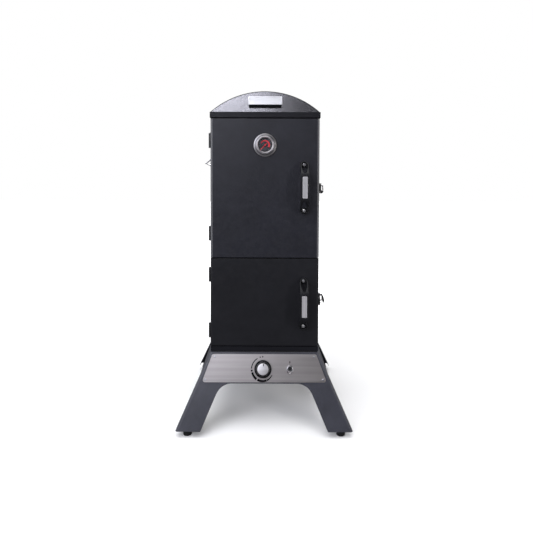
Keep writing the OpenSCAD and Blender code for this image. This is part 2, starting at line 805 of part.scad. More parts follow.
module thermometer_dial() {
    color("#26262a") on_door(0, thermo_z) translate([0, 0, 3.05]) difference() {
        cylinder(h = 1, r = thermo_r - 8.8, $fn = 96);
        translate([0, 0, -1]) cylinder(h = 3, r = 1.06, $fn = 24);
    }
}

// The needle is drawn pointing to the lower left, where it rests
module thermometer_needle() {
    color("#c03028") on_door(0, thermo_z) {
        translate([0, 0, 0.7]) cylinder(h = 4, r = 1, $fn = 24);
        translate([0, 0, 4.3]) cylinder(h = 1.6, r = 3, $fn = 32);
        rotate(225) translate([0, 0, 4.5]) linear_extrude(0.9)
            polygon([[-8, -1.6], [-8, 1.6], [22, 0.9], [26, 0], [22, -0.9]]);
    }
}

module thermometer_lens() {
    color("#eef2f5", 0.3) on_door(0, thermo_z) translate([0, 0, 7.5])
        cylinder(h = 2, r = thermo_r - 8.9, $fn = 96);
}

// ---------- hinges ----------

// Lift-off hinge: the lower knuckle carries the pin and stays on the cabinet
module hinge_base(z) {
    low = z - hinge_h / 2;
    difference() {
        union() {
            translate([-half_w - 2.1, hinge_y + 1, low]) cube([2, 30, hinge_h / 2 - 1]);
            translate([hinge_x, hinge_y, low]) cylinder(h = hinge_h / 2 - 0.3, r = hinge_r);
            translate([hinge_x, hinge_y, low]) cylinder(h = hinge_h - 4, r = hinge_pin_r);
        }
        for (dz = [7, 19]) along_x([-half_w - 5, hinge_y + 22, low + dz]) cylinder(h = 10, r = 1.6, $fn = 20);
    }
}

module hinge_leaf(z) {
    difference() {
        union() {
            translate([hinge_x, hinge_y, z]) cylinder(h = hinge_h / 2, r = hinge_r);
            translate([-half_w - 2.1, hinge_y - 19, z + 1]) cube([2, 18, hinge_h / 2 - 1]);
        }
        translate([hinge_x, hinge_y, z - 1]) cylinder(h = hinge_h / 2 - 2, r = hinge_pin_r + 0.06);
        for (dz = [8, 20]) along_x([-half_w - 5, hinge_y - 12, z + dz]) cylinder(h = 10, r = 1.6, $fn = 20);
    }
}

module cabinet_hinges() {
    color("#1a1a1c") for (z = concat(upper_hinge_z, lower_hinge_z)) hinge_base(z);
}
module upper_door_hinges() { color("#1a1a1c") for (z = upper_hinge_z) hinge_leaf(z); }
module lower_door_hinges() { color("#1a1a1c") for (z = lower_hinge_z) hinge_leaf(z); }

// ---------- door latches ----------

// Base plate on the cabinet's right side, with two ears that hold the lever's pin
module latch_base(z) {
    difference() {
        union() {
            translate([half_w + 0.1, latch_y - 15, z - 21]) cube([2, 34, 42]);
            for (dz = [-17, 14.4]) translate([half_w + 1, latch_y - 6, z + dz]) cube([13, 12, 2.6]);
        }
        translate([latch_x, latch_y, z - 30]) cylinder(h = 60, r = latch_pin_r + 0.06);
    }
}

module latch_bases() {
    color("#1c1c1e") {
        latch_base(upper_latch_z);
        latch_base(lower_latch_z);
    }
}

// Lever with its pin, a finger lip at the end and the wire bail held clear of the door
module latch_lever(z) {
    reach = 34;
    lip = 9;
    translate([latch_x, latch_y, z]) {
        color("#1c1c1e") {
            translate([0, 0, -19]) cylinder(h = 38, r = latch_pin_r);
            translate([0, 0, -13]) cylinder(h = 26, r = 4.4);
            translate([-1.5, 0, -13]) cube([3, reach, 26]);
            translate([-1.5, reach - 3, -13]) cube([lip, 3, 26]);
        }
        color("#d4d4d8") {
            for (s = [-1, 1]) translate([0, 9, s * 9.5]) rotate([0, 90, 0]) cylinder(h = 12, r = 1.5);
            translate([12, 9, -9.5]) cylinder(h = 19, r = 1.5);
            for (s = [-1, 1]) translate([12, 9, s * 9.5]) sphere(1.5);
        }
    }
}

module upper_latch_lever() { latch_lever(upper_latch_z); }
module lower_latch_lever() { latch_lever(lower_latch_z); }

// Hooked keeper on the door's right edge
module latch_keeper(z) {
    difference() {
        translate([half_w + 0.1, door_back_y - 20, z - 13]) cube([7, 16, 26]);
        translate([half_w + 2.1, door_back_y - 17.5, z - 14]) cube([8, 20, 28]);
    }
}

module upper_latch_keeper() { color("#26262a") latch_keeper(upper_latch_z); }
module lower_latch_keeper() { color("#26262a") latch_keeper(lower_latch_z); }

// ---------- exhaust damper ----------

// Ported disc that turns over the ports in the left wall; its finger tab flares outwards
module damper_disc() {
    color("#c4c4c8") along_x([-half_w - 2.3, damper_y, damper_z]) difference() {
        union() {
            cylinder(h = 1.9, r = damper_r, $fn = 96);
            translate([-10, 22, 0]) rotate([90, 0, 90]) linear_extrude(20)
                polygon([[6, 0], [6, 1.5], [3, 1.5], [-19, -27.8], [-17.6, -28.8], [4.4, 0]]);
        }
        rotate(45) translate([0, 0, -1]) damper_ports(9, 4);
        translate([0, 0, -1]) cylinder(h = 6, r = 3.06);
    }
}

module damper_pivot() {
    color("#dadade") along_x([-half_w - 2.3, damper_y, damper_z]) {
        translate([0, 0, -4]) cylinder(h = 13, r = 3);
        translate([0, 0, -3.4]) cylinder(h = 3.1, r = 7.5, $fn = 6);
        translate([0, 0, -12]) cylinder(h = 8.8, r1 = 3.5, r2 = 6);
        translate([0, 0, 4.1]) cylinder(h = 4, r = 7, $fn = 6);
    }
}

side_panel_left();
side_panel_right();
back_panel();
floor_pan();
front_rails();
top_cap();
arch_plates();
roof_sheet();
badge();
shelf_rails();
cooking_grid_1();
cooking_grid_2();
cooking_grid_3();
cooking_grid_4();
water_bowl();
smoker_box();
smoker_box_lid();
box_shelf();
burner();
electrode();
valve_body();
valve_stem();
gas_tube();
gas_inlet();
front_leg_panel();
rear_leg_panel();
base_side_panels();
feet();
control_panel();
panel_screws();
knob();
knob_insert();
igniter_body();
igniter_button();
drip_tray();
door_gaskets();
upper_door();
upper_door_liner();
upper_handle();
upper_handle_insert();
upper_handle_screws();
lower_door();
lower_door_liner();
lower_handle();
lower_handle_insert();
lower_handle_screws();
thermometer_case();
thermometer_dial();
thermometer_needle();
thermometer_lens();
cabinet_hinges();
upper_door_hinges();
lower_door_hinges();
latch_bases();
upper_latch_lever();
lower_latch_lever();
upper_latch_keeper();
lower_latch_keeper();
damper_disc();
damper_pivot();
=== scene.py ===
import json
import math

import bmesh
import bpy
from mathutils import Matrix, Vector

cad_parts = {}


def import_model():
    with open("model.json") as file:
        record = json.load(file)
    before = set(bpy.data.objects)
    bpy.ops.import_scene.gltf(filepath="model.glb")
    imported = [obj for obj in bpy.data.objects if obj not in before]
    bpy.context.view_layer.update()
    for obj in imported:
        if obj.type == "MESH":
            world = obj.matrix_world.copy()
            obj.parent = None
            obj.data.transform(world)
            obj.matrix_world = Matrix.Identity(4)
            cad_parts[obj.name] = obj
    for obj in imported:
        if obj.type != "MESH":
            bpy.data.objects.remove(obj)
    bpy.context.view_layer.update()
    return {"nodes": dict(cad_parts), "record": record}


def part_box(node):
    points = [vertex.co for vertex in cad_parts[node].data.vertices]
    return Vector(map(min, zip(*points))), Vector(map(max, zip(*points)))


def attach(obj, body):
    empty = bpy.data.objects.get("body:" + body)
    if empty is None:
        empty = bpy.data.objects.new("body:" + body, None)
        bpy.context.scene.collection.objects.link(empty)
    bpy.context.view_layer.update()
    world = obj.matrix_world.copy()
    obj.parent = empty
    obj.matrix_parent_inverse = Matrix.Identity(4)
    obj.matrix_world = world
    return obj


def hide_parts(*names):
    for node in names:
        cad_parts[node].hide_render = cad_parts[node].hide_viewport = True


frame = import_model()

RECORD = frame["record"]
NODES = frame["nodes"]
JOINTS = {j["name"]: j for j in RECORD["behaviour"]["joints"]}
MM = 0.001
CREASE_ANGLE = math.radians(32)   # gentler bends are shaded smooth
COAT_ROUGH = 0.05
POWDER_GRAIN, POWDER_HEIGHT = 900, 0.10 * MM
BRUSH_FINE, BRUSH_HEIGHT = 900, 0.06 * MM
PRINT_LOW, PRINT_HIGH = -0.05 * MM, 0.12 * MM   # printed marks, from just under to just over their surface


# ---------- shader helpers ----------

class Shader:
    """Builds one Principled material node by node; edge is the radius that its edges look rounded to."""

    def __init__(self, name, colour, rough, metal=0.0, spec=0.5, coat=0.0, edge=0.6 * MM):
        self.mat = bpy.data.materials.new(name)
        self.mat.use_nodes = True
        self.tree = self.mat.node_tree
        self.bsdf = self.tree.nodes["Principled BSDF"]
        self.colour = colour
        self.put("Base Color", (*colour, 1))
        self.put("Roughness", rough)
        self.put("Metallic", metal)
        self.put("Specular IOR Level", spec)
        self.put("Coat Weight", coat)
        self.put("Coat Roughness", COAT_ROUGH)
        self.rough = rough
        self.edge = edge
        self.coords = self.tree.nodes.new("ShaderNodeTexCoord").outputs["Object"]

    def put(self, socket, value):
        self.bsdf.inputs[socket].default_value = value

    def link(self, a, b):
        self.tree.links.new(a, b)

    def stretched(self, scale):
        """Object coordinates stretched along the axes, for grain that runs one way."""
        node = self.tree.nodes.new("ShaderNodeMapping")
        node.inputs["Scale"].default_value = scale
        self.link(self.coords, node.inputs["Vector"])
        return node.outputs["Vector"]

    def noise(self, scale, detail=3, vector=None, rough=0.5):
        node = self.tree.nodes.new("ShaderNodeTexNoise")
        node.inputs["Scale"].default_value = scale
        node.inputs["Detail"].default_value = detail
        node.inputs["Roughness"].default_value = rough
        self.link(vector or self.coords, node.inputs["Vector"])
        return node.outputs["Fac"]

    def spread(self, value, low, high, start=0.35, stop=0.65):
        """Maps value from start..stop to low..high."""
        node = self.tree.nodes.new("ShaderNodeMapRange")
        for key, number in (("From Min", start), ("From Max", stop), ("To Min", low), ("To Max", high)):
            node.inputs[key].default_value = number
        self.link(value, node.inputs["Value"])
        return node.outputs["Result"]

    def tint(self, value, dark, light):
        """Base colour runs from dark times to light times the material's own colour."""
        ramp = self.tree.nodes.new("ShaderNodeValToRGB")
        for element, k in zip(ramp.color_ramp.elements, (dark, light)):
            element.color = (*[min(1, c * k) for c in self.colour], 1)
        ramp.color_ramp.elements[0].position = 0.3
        ramp.color_ramp.elements[1].position = 0.7
        self.link(value, ramp.inputs["Fac"])
        self.link(ramp.outputs["Color"], self.bsdf.inputs["Base Color"])
        return ramp

    def vary_rough(self, value, by):
        """Roughness wanders by this much either side of the material's own."""
        self.link(self.spread(value, self.rough - by, self.rough + by), self.bsdf.inputs["Roughness"])

    def bump(self, height, distance):
        """Surface relief over softly rounded edges."""
        edge = self.tree.nodes.new("ShaderNodeBevel")
        edge.inputs["Radius"].default_value = self.edge
        node = self.tree.nodes.new("ShaderNodeBump")
        self.link(edge.outputs["Normal"], node.inputs["Normal"])
        node.inputs["Strength"].default_value = 1.0
        node.inputs["Distance"].default_value = distance
        self.link(height, node.inputs["Height"])
        self.link(node.outputs["Normal"], self.bsdf.inputs["Normal"])

    def paint_bend_highlight(self, times):
        """Painted highlight along the upright bends, found from each facet's own direction: the base colour
        is made lighter there to stand for light caught on the bend.
        """
        new = self.tree.nodes.new
        turn = new("ShaderNodeVectorTransform")
        turn.vector_type = "NORMAL"
        turn.convert_from = "WORLD"
        turn.convert_to = "OBJECT"
        self.link(new("ShaderNodeNewGeometry").outputs["True Normal"], turn.inputs[0])
        facing = new("ShaderNodeSeparateXYZ")
        self.link(turn.outputs[0], facing.inputs[0])
        sideways = new("ShaderNodeMath")
        sideways.operation = "ABSOLUTE"
        self.link(facing.outputs["X"], sideways.inputs[0])
        ramp = new("ShaderNodeValToRGB")
        stops = ((0.04, 0), (0.14, 1), (0.80, 1), (0.90, 0))
        while len(ramp.color_ramp.elements) < len(stops):
            ramp.color_ramp.elements.new(0.5)
        for element, (place, level) in zip(ramp.color_ramp.elements, stops):
            element.position = place
            element.color = (level, level, level, 1)
        self.link(sideways.outputs[0], ramp.inputs["Fac"])
        mix = new("ShaderNodeMix")
        mix.data_type = "RGBA"
        self.link(ramp.outputs["Color"], mix.inputs["Factor"])
        self.link(self.bsdf.inputs["Base Color"].links[0].from_socket, mix.inputs["A"])
        # painted highlight colour: the coat's mean tone made lighter
        highlight_tone = sum(self.colour) / 3 * times
        mix.inputs["B"].default_value = (highlight_tone, highlight_tone, highlight_tone * 1.06, 1)
        self.link(mix.outputs["Result"], self.bsdf.inputs["Base Color"])


def powder_coat(name, colour, rough, spec, bend=0):
    """Fine-textured sprayed coat; where the sheet bends to the side, a painted highlight makes it bend times
    lighter.
    """
    s = Shader(name, colour, rough, spec=spec, edge=1.2 * MM)
    s.tint(s.noise(9, 9, rough=0.72), 0.76, 1.26)
    if bend:
        s.paint_bend_highlight(bend)
    grain = s.noise(POWDER_GRAIN, 2)
    s.vary_rough(s.noise(60, 3), 0.05)
    s.bump(grain, POWDER_HEIGHT)
    return s.mat


def brushed(name, colour, rough, axis, coarse=90, metal=1.0, streak=0.9):
    """Sheet metal with straight brush lines along one axis, over wider bands as dark as streak."""
    s = Shader(name, colour, rough, metal=metal)
    lines = s.stretched([3 if i == axis else BRUSH_FINE for i in range(3)])
    bands = s.stretched([1.5 if i == axis else coarse for i in range(3)])
    fine_lines = s.noise(1, 3, lines, 0.65)
    s.tint(s.noise(1, 2, bands), streak, 1.06)
    s.vary_rough(fine_lines, 0.08)
    s.bump(fine_lines, BRUSH_HEIGHT)
    return s.mat


def speckled(name, colour, rough, metal):
    """Metallic finish with a fine broken sparkle."""
    s = Shader(name, colour, rough, metal=metal)
    s.tint(s.noise(260, 4, rough=0.7), 0.84, 1.14)
    s.vary_rough(s.noise(300, 2), 0.05)
    s.bump(s.noise(320, 3, rough=0.6), 0.00008)
    return s.mat


def polished(name, colour, rough, height=0.00001):
    """Plated or polished metal, very slightly uneven."""
    s = Shader(name, colour, rough, metal=1.0)
    s.tint(s.noise(25, 3), 0.93, 1.04)
    s.vary_rough(s.noise(140, 3), 0.03)
    s.bump(s.noise(260, 2), height)
    return s.mat


def moulded(name, colour, rough, coat=0.0, grain=500, height=0.00003, spec=0.5):
    """Plastic, rubber, enamel or print with a faint moulding texture."""
    s = Shader(name, colour, rough, spec=spec, coat=coat)
    s.tint(s.noise(30, 3), 0.85, 1.2)
    s.vary_rough(s.noise(90, 2), 0.04)
    s.bump(s.noise(grain, 2), height)
    return s.mat


def cast(name, colour, rough):
    """Sand-cast iron."""
    s = Shader(name, colour, rough, metal=0.35)
    s.tint(s.noise(70, 5), 0.7, 1.3)
    s.vary_rough(s.noise(40, 3), 0.08)
    s.bump(s.noise(260, 5, rough=0.7), 0.0004)
    return s.mat


def felt(name, colour):
    """Matt fibre gasket."""
    s = Shader(name, colour, 0.95, spec=0.2)
    s.put("Sheen Weight", 0.4)
    s.tint(s.noise(160, 4), 0.6, 1.5)
    s.bump(s.noise(900, 4, rough=0.8), 0.0003)
    return s.mat


def heat_tinted(name, colour, rough):
    """Stainless tube with straw and blue heat colours drifting along it."""
    s = Shader(name, colour, rough, metal=1.0)
    ramp = s.tint(s.noise(14, 3), 0.9, 1.1)
    ramp.color_ramp.elements[0].color = (0.30, 0.25, 0.30, 1)
    ramp.color_ramp.elements.new(0.5).color = (0.46, 0.38, 0.26, 1)
    ramp.color_ramp.elements[-1].color = (0.48, 0.47, 0.46, 1)
    s.vary_rough(s.noise(120, 3), 0.08)
    s.bump(s.noise(500, 2), 0.00004)
    return s.mat


def clear_glass(name):
    """Clear lens over the dial."""
    s = Shader(name, (0.96, 0.98, 1.0), 0.03)
    s.put("Transmission Weight", 1.0)
    s.put("IOR", 1.45)
    s.put("Alpha", 0.2)
    s.vary_rough(s.noise(40, 2), 0.02)
    return s.mat


PAINT = {
    # bend=8: painted highlight along the door's upright bends
    "door": powder_coat("door_powder_coat", (0.0140, 0.0144, 0.0212), 0.42, 0.42, bend=8),
    # the lower door's coat is a darker copy of the door coat: painted shade, as both doors carry one coat
    "lower_door": powder_coat("lower_door_powder_coat_shaded", (0.0100, 0.0101, 0.0132), 0.42, 0.33),
    # bend=16: painted highlight along the upright bends of the cap and rails
    "cabinet": powder_coat("cabinet_powder_coat", (0.0082, 0.0084, 0.0118), 0.43, 0.24, bend=16),
    "sides": powder_coat("side_powder_coat", (0.0150, 0.0154, 0.0205), 0.44, 0.45),
    # the leg coat is a lighter copy of the black coat: painted light for the light the upward-tilted legs
    # catch
    "leg": powder_coat("leg_powder_coat_painted_light", (0.040, 0.041, 0.054), 0.36, 0.5),
    "arch": speckled("arch_metallic", (0.25, 0.247, 0.264), 0.22, 0.92),
    "badge": brushed("badge_brushed", (0.90, 0.90, 0.93), 0.36, 0, metal=0.6),
    "plaque": brushed("control_panel_brushed", (0.395, 0.372, 0.372), 0.36, 0),
    "grip": brushed("grip_insert_brushed", (0.88, 0.865, 0.89), 0.36, 2, metal=0.7, coarse=420,
                    streak=0.72),
    "handle": moulded("handle_resin", (0.012, 0.0122, 0.0145), 0.42, spec=0.2),
    "knob": moulded("knob_resin", (0.010, 0.010, 0.012), 0.28, spec=0.32),
    "bezel": polished("bezel_metal", (0.44, 0.425, 0.44), 0.33, 0.000006),
    "button": brushed("button_head", (0.78, 0.77, 0.79), 0.30, 2, metal=0.55),
    # a darker copy of the bezel metal: painted shade for the groove round the thermometer ring
    "shade": polished("bezel_painted_groove_shade", (0.20, 0.195, 0.205), 0.34, 0.000006),
    "bail": polished("bright_zinc", (0.50, 0.48, 0.50), 0.26),
    "roof": powder_coat("roof_powder_coat", (0.04, 0.041, 0.05), 0.45, 0.5),
    "stainless_x": brushed("stainless_brushed_across", (0.72, 0.705, 0.72), 0.36, 0),
    "sheet": brushed("plain_sheet", (0.33, 0.335, 0.345), 0.42, 1),
    "wire": polished("nickel_plate", (0.64, 0.63, 0.62), 0.24),
    "tube": heat_tinted("burner_steel", (0.45, 0.44, 0.43), 0.34),
    "iron": cast("cast_iron", (0.035, 0.035, 0.037), 0.62),
    "brass": polished("brass", (0.72, 0.52, 0.25), 0.28),
    "chrome": polished("chrome", (0.80, 0.79, 0.81), 0.10),
    "screw": polished("zinc_plate", (0.42, 0.42, 0.46), 0.30),
    "resin": moulded("black_resin", (0.010, 0.010, 0.012), 0.22, coat=0.6),
    "hardware": powder_coat("black_hardware", (0.012, 0.012, 0.013), 0.40, 0.5),
    "rubber": moulded("foot_rubber", (0.012, 0.012, 0.013), 0.62, grain=300, height=0.0001, spec=0.35),
    # felt for the door gaskets, also used as painted shade in the sill gap strip
    "felt": felt("gasket_felt", (0.03, 0.03, 0.031)),
    "ceramic": moulded("ceramic", (0.80, 0.78, 0.72), 0.2, coat=0.3),
    "dial": moulded("dial_face", (0.034, 0.035, 0.043), 0.5),
    "red": moulded("red_enamel", (0.82, 0.040, 0.060), 0.4),
    # black print, also used as painted shade for the back screws' recesses
    "print": moulded("black_print_and_painted_shade", (0.004, 0.004, 0.005), 0.6, spec=0.08),
    "mark": moulded("pale_print", (0.34, 0.38, 0.40), 0.5),
    "glass": clear_glass("lens_glass"),
}

NODE_PAINT = {
    "door": ["upper_door"],
    "lower_door": ["lower_door"],
    "sides": ["side_panel_left", "side_panel_right", "back_panel"],
    "cabinet": ["floor_pan", "front_rails", "top_cap"],
    "roof": ["roof_sheet"],
    "leg": ["front_leg_panel", "rear_leg_panel", "base_side_panels"],
    "arch": ["arch_plates"],
    "badge": ["badge"],
    "plaque": ["control_panel"],
    "stainless_x": ["water_bowl", "knob_insert", "damper_disc"],
    "grip": ["upper_handle_insert", "lower_handle_insert"],
    "handle": ["upper_handle", "lower_handle"],
    "bail": ["upper_latch_lever", "lower_latch_lever"],
    "wire": ["cooking_grid_1", "cooking_grid_2", "cooking_grid_3", "cooking_grid_4", "shelf_rails"],
    "sheet": ["box_shelf", "drip_tray", "upper_door_liner", "lower_door_liner"],
    "tube": ["burner", "gas_tube"],
    "iron": ["smoker_box", "smoker_box_lid"],
    "brass": ["valve_body", "valve_stem", "gas_inlet"],
    "chrome": ["igniter_body", "damper_pivot"],
    "button": ["upper_handle_screws", "lower_handle_screws"],
    "screw": ["panel_screws"],
    "knob": ["knob"],
    "resin": ["igniter_button"],
    "bezel": ["thermometer_case"],
    "hardware": ["cabinet_hinges", "upper_door_hinges", "lower_door_hinges", "latch_bases",
                 "upper_latch_keeper", "lower_latch_keeper"],
    "rubber": ["feet"],
    "felt": ["door_gaskets"],
    "ceramic": ["electrode"],
    "dial": ["thermometer_dial"],
    "red": ["thermometer_needle"],
    "glass": ["thermometer_lens"],
}


def smooth_by_angle(obj):
    """Shades curved stretches smooth and keeps real edges crisp."""
    mesh = obj.data
    for polygon in mesh.polygons:
        polygon.use_smooth = True
    mesh.set_sharp_from_angle(angle=CREASE_ANGLE)


def paint_nodes():
    """Gives every CAD node its procedural material."""
    for key, names in NODE_PAINT.items():
        for name in names:
            obj = NODES[name]
            obj.data.materials.clear()
            obj.data.materials.append(PAINT[key])
            for polygon in obj.data.polygons:
                polygon.material_index = 0
            smooth_by_angle(obj)


# ---------- mesh helpers ----------

def add_object(name, data):
    obj = bpy.data.objects.new(name, data)
    bpy.context.scene.collection.objects.link(obj)
    return obj


def make(name, bm, paint, body):
    """Turns a bmesh into a piece that rides on a body."""
    bmesh.ops.recalc_face_normals(bm, faces=bm.faces)
    mesh = bpy.data.meshes.new(name)
    bm.to_mesh(mesh)
    bm.free()
    obj = add_object(name, mesh)
    mesh.materials.append(PAINT[paint])
    smooth_by_angle(obj)
    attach(obj, body)
    return obj


def revolve(profile, steps, wobble=None):
    """Closed solid from a (radius, height) profile; wobble(index, angle) scales a ring's radius."""
    bm = bmesh.new()
    rings = []
    for k, (r, h) in enumerate(profile):
        if r < 1e-7:
            rings.append([bm.verts.new((0, 0, h))])
            continue
        ring = []
        for i in range(steps):
            a = 2 * math.pi * i / steps
            rr = r * (wobble(k, a) if wobble else 1)
            ring.append(bm.verts.new((rr * math.cos(a), rr * math.sin(a), h)))
        rings.append(ring)
    for low, high in zip(rings, rings[1:]):
        for i in range(steps):
            j = (i + 1) % steps
            if len(low) == 1:
                bm.faces.new((low[0], high[j], high[i]))
            elif len(high) == 1:
                bm.faces.new((low[i], low[j], high[0]))
            else:
                bm.faces.new((low[i], low[j], high[j], high[i]))
    for ring in (rings[0], rings[-1]):
        if len(ring) > 1:
            bm.faces.new(ring)
    return bm


def hoop(profile, steps, tall=1.0):
    """Ring from a closed (radius, height) outline; tall stretches it into an oval along y."""
    bm = bmesh.new()
    rings = []
    for r, h in profile:
        angles = [2 * math.pi * i / steps for i in range(steps)]
        rings.append([bm.verts.new((r * math.cos(a), r * math.sin(a) * tall, h)) for a in angles])
    for low, high in zip(rings, rings[1:] + rings[:1]):
        for i in range(steps):
            j = (i + 1) % steps
            bm.faces.new((low[i], low[j], high[j], high[i]))
    return bm


def plate(outline, low, high):
    """Closed prism from a flat outline."""
    bm = bmesh.new()
    bottom = [bm.verts.new((x, y, low)) for x, y in outline]
    top = [bm.verts.new((x, y, high)) for x, y in outline]
    bm.faces.new(list(reversed(bottom)))
    bm.faces.new(top)
    for i in range(len(outline)):
        j = (i + 1) % len(outline)
        bm.faces.new((bottom[i], bottom[j], top[j], top[i]))
    return bm


def band(inner, outer, start, stop, steps=40):
    """Outline of an arc band; inner and outer are radii or functions of the share along it."""
    def at(r, t):
        a = math.radians(start + (stop - start) * t)
        rr = r(t) if callable(r) else r
        return rr * math.cos(a), rr * math.sin(a)
    shares = [i / steps for i in range(steps + 1)]
    return [at(outer, t) for t in shares] + [at(inner, t) for t in reversed(shares)]


def join(parts):
    """One bmesh from several."""
    whole = bmesh.new()
    for part in parts:
        mesh = bpy.data.meshes.new("part")
        part.to_mesh(mesh)
        part.free()
        whole.from_mesh(mesh)
        bpy.data.meshes.remove(mesh)
    return whole


def tube(points, radius, corner, sides=14):
    """Round wire along a path, with arcs of the given radius at its inner corners."""
    steps = 6
    path = [points[0]]
    for a, b, c in zip(points, points[1:], points[2:]):
        u, v = (a - b).normalized(), (c - b).normalized()
        half = u.angle(v) / 2
        reach = corner / math.tan(half)
        centre = b + (u + v).normalized() * corner / math.sin(half)
        start, stop = b + u * reach - centre, b + v * reach - centre
        axis, turn = start.cross(stop).normalized(), start.angle(stop)
        path += [centre + Matrix.Rotation(turn * i / steps, 3, axis) @ start for i in range(steps + 1)]
    path.append(points[-1])
    bm = bmesh.new()
    side = None
    rings = []
    for k, p in enumerate(path):
        ahead = (path[min(k + 1, len(path) - 1)] - path[max(k - 1, 0)]).normalized()
        if side is None:
            side = ahead.orthogonal().normalized()
        side = (side - ahead * side.dot(ahead)).normalized()
        other = ahead.cross(side)
        angles = [2 * math.pi * i / sides for i in range(sides)]
        rings.append([bm.verts.new(p + radius * (side * math.cos(a) + other * math.sin(a))) for a in angles])
    for low, high in zip(rings, rings[1:]):
        for i in range(sides):
            j = (i + 1) % sides
            bm.faces.new((low[i], low[j], high[j], high[i]))
    bm.faces.new(rings[0])
    bm.faces.new(rings[-1])
    return bm


def frame_at(origin, out):
    """Matrix whose z is out and whose y is up in the surface."""
    z = out.normalized()
    x = Vector((0, 0, 1)).cross(z).normalized()
    y = z.cross(x)
    m = Matrix.Identity(4)
    for i, axis in enumerate((x, y, z)):
        m.col[i][:3] = axis
    m.col[3][:3] = origin
    return m


def placed(bm, matrix):
    """The bmesh itself, moved by the matrix."""
    bm.transform(matrix)
    return bm


def middle(node):
    """Centre of a CAD node's box."""
    low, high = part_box(node)
    return (low + high) / 2


PANEL_OUT = Vector(JOINTS["gas_valve_turn"]["axis"]).normalized()
KNOB_AXIS_POINT = Vector(JOINTS["gas_valve_turn"]["pos_m"])
PANEL_FACE = 1.6 * MM   # from the valve's axis point out to the control panel's face
DOOR_OUT = Vector((0, -1, 0))
THERMO = middle("thermometer_lens")
DIAL_FACE_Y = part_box("thermometer_dial")[0].y
DIAL_RADIUS = 23.4 * MM
DIAL_TICKS, TICKS_PER_LONG = 25, 4
DIAL_START, DIAL_SWEEP = 230, 280   # degrees
KNOB_SEAT = 6.1 * MM   # from the valve's axis point to the underside of the knob


# ---------- added detail ----------

def dial_marks():
    """Pale ticks and the red temperature zone on the dial."""
    place = frame_at(Vector((THERMO.x, DIAL_FACE_Y, THERMO.z)), DOOR_OUT)
    ticks = []
    for i in range(DIAL_TICKS):
        a = math.radians(DIAL_START - i * DIAL_SWEEP / (DIAL_TICKS - 1))
        long = i % TICKS_PER_LONG == 0
        inner = DIAL_RADIUS * (0.84 if long else 0.90)
        width = (0.85 if long else 0.45) * MM
        c, s = math.cos(a), math.sin(a)
        corners = [(r * c - w * s, r * s + w * c) for r, w in
                   ((inner, -width), (DIAL_RADIUS, -width), (DIAL_RADIUS, width), (inner, width))]
        ticks.append(plate(corners, 0, 0.12 * MM))
    make("thermometer_ticks", placed(join(ticks), place), "mark", "upper_door")
    zone = band(lambda t: DIAL_RADIUS * (0.64 - 0.18 * t), DIAL_RADIUS * 0.765, 157, -31)
    make("thermometer_zone", placed(plate(zone, 0, 0.15 * MM), place), "red", "upper_door")


def thermometer_ring():
    """Rolled ring that holds the lens, a dark ring of painted shade for the groove round it, and a thin
    black ring of painted shadow where the case meets the door.
    """
    place = frame_at(Vector((THERMO.x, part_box("upper_door")[0].y, THERMO.z)), DOOR_OUT)
    ring = [(25.2, 9.6), (25.3, 11.0), (26.0, 12.4), (27.3, 13.3), (29.0, 13.6), (30.8, 13.3), (32.2, 12.3),
            (33.1, 10.8), (33.4, 9.2), (33.2, 7.6), (32.9, 7.6), (32.6, 9.6)]
    # the groove is a raised ring in the darker bezel metal: painted shade
    groove = [(33.6, 4.7), (37.3, 4.7), (37.2, 9.2), (36.4, 10.9), (34.9, 11.8), (33.6, 11.9)]
    # thin black rubber ring on the door face: painted shadow round the case
    painted_shadow_ring = [(41.0, 0.02), (43.8, 0.02), (43.6, 0.5), (42.6, 0.9), (41.0, 0.9)]
    parts = (("ring", ring, "bezel", "chrome"), ("groove", groove, "shade", "chrome"),
             ("painted_shadow_ring", painted_shadow_ring, "rubber", "foot_rubber"))
    for name, profile, paint, slot in parts:
        bm = hoop([(r * MM, h * MM) for r, h in profile], 144)
        make(f"thermometer_{name}", placed(bm, place), paint, "upper_door")


def knob_print():
    """The flame-setting arc printed round the knob in five stretches, and two dots before it."""
    place = frame_at(KNOB_AXIS_POINT + PANEL_OUT * PANEL_FACE, PANEL_OUT)
    # start and stop angle, inner radius, thickness at the start and at the stop
    stretches = [(119, 178, 39.6, 2.8, 3.6), (183, 192, 37.8, 6.0, 6.0), (196, 236, 36.8, 7.2, 8.0),
                 (241, 289, 36.6, 8.0, 7.0), (291, 330, 37.6, 5.6, 1.8)]
    for k, (start, stop, inner, first, last) in enumerate(stretches):
        outline = band(inner * MM, lambda t: (inner + first + (last - first) * t) * MM, start, stop, 24)
        make(f"knob_print_{k + 1}", placed(plate(outline, PRINT_LOW, PRINT_HIGH), place), "print", "cabinet")
    dots = [(104, 41.8, 2.2), (91, 41.8, 2.4)]   # angle, distance, radius
    for k, (angle, r, size) in enumerate(dots):
        a = math.radians(angle)
        dot = revolve([(0, PRINT_LOW), (size * MM, PRINT_LOW), (size * MM, PRINT_HIGH), (0, 0.14 * MM)], 20)
        shift = Matrix.Translation((r * MM * math.cos(a), r * MM * math.sin(a), 0))
        make(f"knob_dot_{k + 1}", placed(dot, place @ shift), "print", "cabinet")


